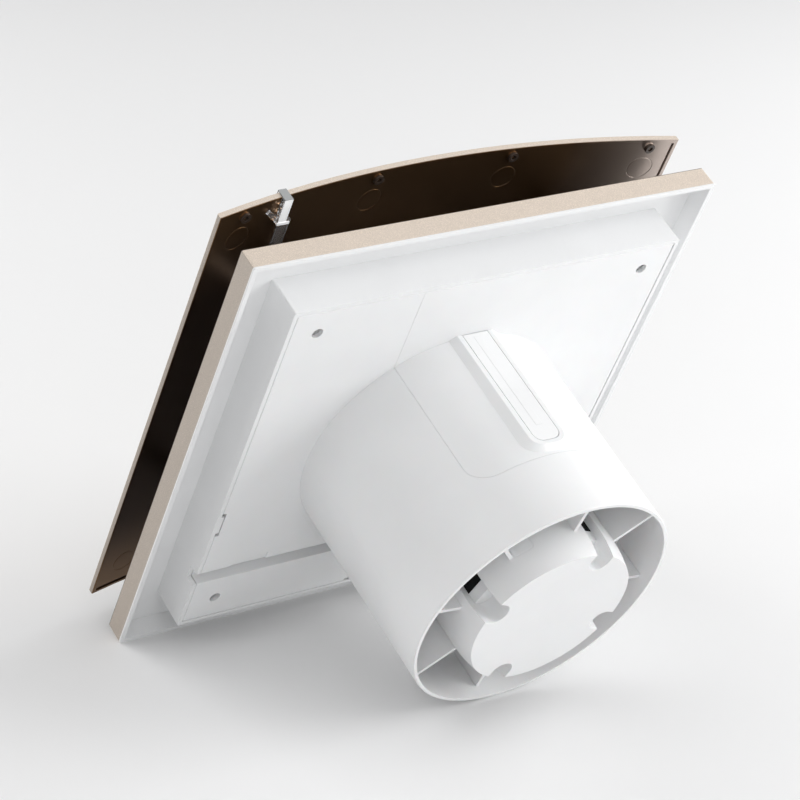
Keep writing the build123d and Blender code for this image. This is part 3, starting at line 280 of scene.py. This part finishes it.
# ---------------------------------------------------------------- clear parts
def clear_material():
    """Clear acrylic, frosted white on its back face and dull grey on its cap."""
    s = Shader("clear_acrylic", IOR=1.30, Emission_Color=(1.0, 1.0, 1.0))
    back = s.beyond(s.axis("Y"), GUIDE_BACK - 0.16 * MM)
    cap = s.beyond(s.axis("Z"), GUIDE_TOP - 0.2 * MM)
    frost = s.math("MAXIMUM", back, cap)
    s.put(s.body, Base_Color=s.blend(cap, (0.97, 0.97, 0.98), (0.36, 0.37, 0.37)))
    s.put(s.body, Transmission_Weight=s.spread(frost, 0.0, 1.0, 0.92, 0.0))
    # A slight glow stands in for the room light that the clear arm gathers behind its frosted back
    s.put(s.body, Emission_Strength=s.math("MULTIPLY", s.math("SUBTRACT", back, cap, True), 0.25))
    s.put(s.body, Roughness=s.spread(s.math("ADD", frost, s.noise(6 * MM, 3)), 0.6, 1.5, 0.02, 0.30))
    return s.material


def led_material():
    s = Shader("led_resin", Transmission_Weight=0.8, IOR=1.52, Roughness=0.08)
    s.put(s.body, Base_Color=s.blend(s.noise(0.8 * MM), (0.25, 0.75, 0.30), (0.45, 0.85, 0.40)))
    return s.material


give(clear_material(), "light_guide")
give(led_material(), "lamp_led")


# ---------------------------------------------------------------- metals
def metal(name, colour, rough, streak=(1, 1, 1), size=0.5 * MM, depth=0.004 * MM):
    """Metal whose marks are streaked along the axes with a small factor."""
    s = Shader(name, Metallic=1.0)
    marks = s.noise(size, 4, at=s.stretched(*streak))
    dull = scaled(colour, 0.7)
    s.put(s.body, Base_Color=s.blend(s.spread(s.noise(7 * MM, 4), 0.3, 0.7), colour, dull))
    s.put(s.body, Roughness=s.spread(marks, 0.25, 0.75, rough - 0.07, rough + 0.09))
    s.relief(marks, depth, 0.15 * MM)
    return s.material


def bands(s, along, width, distortion):
    """A wave from 0 to 1 in bands of the given width, along one axis."""
    # Blender's wave repeats 20 times as often as its scale says
    made = s.node("TexWave", {"bands_direction": along}, Vector=s.place)
    s.put(made, Scale=1 / width / 20, Distortion=distortion)
    return made.outputs["Fac"]


def lamination_material():
    """Thin steel sheets stacked along the fan's axis, with varnish in the joints."""
    s = Shader("laminations", Metallic=0.9)
    joint = s.spread(bands(s, "Y", 0.5 * MM, 0.6), 0.1, 0.5)
    s.put(s.body, Base_Color=s.blend(joint, (0.07, 0.07, 0.075), (0.36, 0.37, 0.39)))
    s.put(s.body, Roughness=s.spread(s.noise(2 * MM, 4), 0.2, 0.8, 0.38, 0.6))
    s.relief(joint, 0.05 * MM)
    return s.material


def winding_material():
    """Rows of enamelled wire: round ridges across the coil."""
    s = Shader("copper_winding", Metallic=0.85, Coat_Weight=0.6, Coat_Roughness=0.15)
    turns = bands(s, "X", 0.35 * MM, 0.8)
    row = s.noise(1.5 * MM, 2)
    s.put(s.body, Base_Color=s.blend(row, (0.52, 0.20, 0.07), (0.72, 0.33, 0.14)))
    s.put(s.body, Roughness=s.spread(s.noise(1 * MM), 0.2, 0.8, 0.22, 0.4))
    s.relief(turns, 0.10 * MM)
    return s.material


def board_material():
    s = Shader("board", Coat_Weight=0.4, Coat_Roughness=0.2)
    track = s.spread(s.noise(2.2 * MM, 0, at=s.stretched(1, 0.05, 0.4)), 0.50, 0.53)
    s.put(s.body, Base_Color=s.blend(track, (0.02, 0.13, 0.05), (0.04, 0.22, 0.09)))
    s.put(s.body, Roughness=s.spread(s.noise(0.5 * MM), 0.2, 0.8, 0.3, 0.45))
    s.relief(track, 0.03 * MM, 0.1 * MM)
    return s.material


steel = metal("steel", (0.60, 0.60, 0.61), 0.28, (1, 0.1, 1))
give(steel, "shutter_pin", "flap_spring_right", "flap_spring_left", "impeller_clip", "motor_shaft")
give(steel, "tie_screws", "terminal_screws", "terminal_cover_screw", "clamp_screws", "board_screws")
bracket_alloy = metal("bracket_alloy", (0.72, 0.73, 0.74), 0.44, size=0.8 * MM, depth=0.02 * MM)
give(bracket_alloy, "front_bracket", "rear_bracket")
bronze = metal("bronze", (0.60, 0.42, 0.20), 0.36, size=0.2 * MM, depth=0.006 * MM)
give(bronze, "front_bearing", "rear_bearing")
give(lamination_material(), "rotor_core", "stator_core")
give(winding_material(), "stator_coils")
give(board_material(), "lamp_board")


# ---------------------------------------------------------------- floor
FLOOR_HALF = 1.9
PAPER = (0.82, 0.82, 0.822)
PAPER_PALE = (0.83, 0.83, 0.832)
# Fitted painted light: the paper is painted a little brighter toward the fan's -X side
PAPER_PAINTED_LIGHT = (0.88, 0.88, 0.884)
PAINTED_LIGHT_X = -0.9
PLAIN_X = -0.1


def floor_material():
    """Pale matt paper that shows only from above, so that a view from underneath isn't blocked, with
    painted light toward the fan's -X side.
    """
    s = Shader("floor_paper")
    paper = s.blend(s.noise(0.4, 2), PAPER, PAPER_PALE)
    # Painted light: brighter paper toward -X
    bright = s.spread(s.axis("X"), PAINTED_LIGHT_X, PLAIN_X, 1.0, 0.0)
    s.put(s.body, Base_Color=s.blend(bright, paper, PAPER_PAINTED_LIGHT))
    s.put(s.body, Roughness=s.spread(s.noise(0.01), 0.2, 0.8, 0.6, 0.7))
    below = s.node("NewGeometry").outputs["Backfacing"]
    clear = s.node("BsdfTransparent")
    mix = s.node("MixShader")
    for socket, source in zip(mix.inputs, (below, s.body.outputs[0], clear.outputs[0])):
        s.tree.links.new(source, socket)
    s.tree.links.new(mix.outputs[0], s.out.inputs["Surface"])
    return s.material


def floor_corner(a, b):
    """A corner of the floor, a and b being -1 or 1 across it and along it."""
    side = Vector((1, 0, 0))
    ahead = GROUND_UP.cross(side)
    return GROUND_POINT + (side * a + ahead * b) * FLOOR_HALF


corners = [floor_corner(*signs) for signs in ((-1, -1), (1, -1), (1, 1), (-1, 1))]
floor_mesh = bpy.data.meshes.new("floor")
floor_mesh.from_pydata(corners, [], [(0, 1, 2, 3)])
floor_mesh.materials.append(floor_material())
floor = bpy.data.objects.new("floor", floor_mesh)
bpy.context.scene.collection.objects.link(floor)

# ---------------------------------------------------------------- camera
CAMERA_PLACE = Vector((663.4, 608.6, 836.1)) * MM
CAMERA_TURN = (45.1519, -16.8141, 149.5857)
CAMERA_LENS = 131.54

camera_data = bpy.data.cameras.new("camera")
camera_data.lens = CAMERA_LENS
camera_data.clip_start = 0.05
camera_data.clip_end = 20
camera = bpy.data.objects.new("camera", camera_data)
camera.location = CAMERA_PLACE
camera.rotation_euler = [radians(a) for a in CAMERA_TURN]
bpy.context.scene.collection.objects.link(camera)
bpy.context.scene.camera = camera

# ---------------------------------------------------------------- light
SOFTBOX_SIZE = 0.9
SOFTBOX_DISTANCE = 1.6
SKY_STRENGTH = 0.44
# name, degrees round the fan from the camera's right, degrees above the floor, watts
SOFTBOXES = (
    ("key_right", 0, 20, 15.6),
    ("key_right_behind", 40, 20, 7.0),
    ("left_behind", 150, 20, 8.5),
    ("front", -80, 20, 3.3),
    ("left_high", 210, 50, 3.6),
    ("right_high", 0, 50, 2.0),
    ("front_high", -60, 50, 1.7),
    ("back_high", 150, 50, 1.8),
)
toward = camera.rotation_euler.to_matrix() @ Vector((0, 0, -1))
away = (toward - GROUND_UP * toward.dot(GROUND_UP)).normalized()
right = away.cross(GROUND_UP)
target = Vector((0, 20, -20)) * MM

for name, azimuth, elevation, watts in SOFTBOXES:
    level = right * cos(radians(azimuth)) + away * sin(radians(azimuth))
    direction = level * cos(radians(elevation)) + GROUND_UP * sin(radians(elevation))
    data = bpy.data.lights.new(name, "AREA")
    data.shape = "SQUARE"
    data.size = SOFTBOX_SIZE
    data.energy = watts
    lamp = bpy.data.objects.new(name, data)
    lamp.location = target + direction * SOFTBOX_DISTANCE
    lamp.rotation_euler = (-direction).to_track_quat("-Z", "Y").to_euler()
    bpy.context.scene.collection.objects.link(lamp)

world = bpy.data.worlds.new("studio")
world.use_nodes = True
background = world.node_tree.nodes["Background"]
background.inputs["Color"].default_value = (1, 1, 1, 1)
background.inputs["Strength"].default_value = SKY_STRENGTH
bpy.context.scene.world = world
bpy.context.scene.view_settings.view_transform = "Standard"
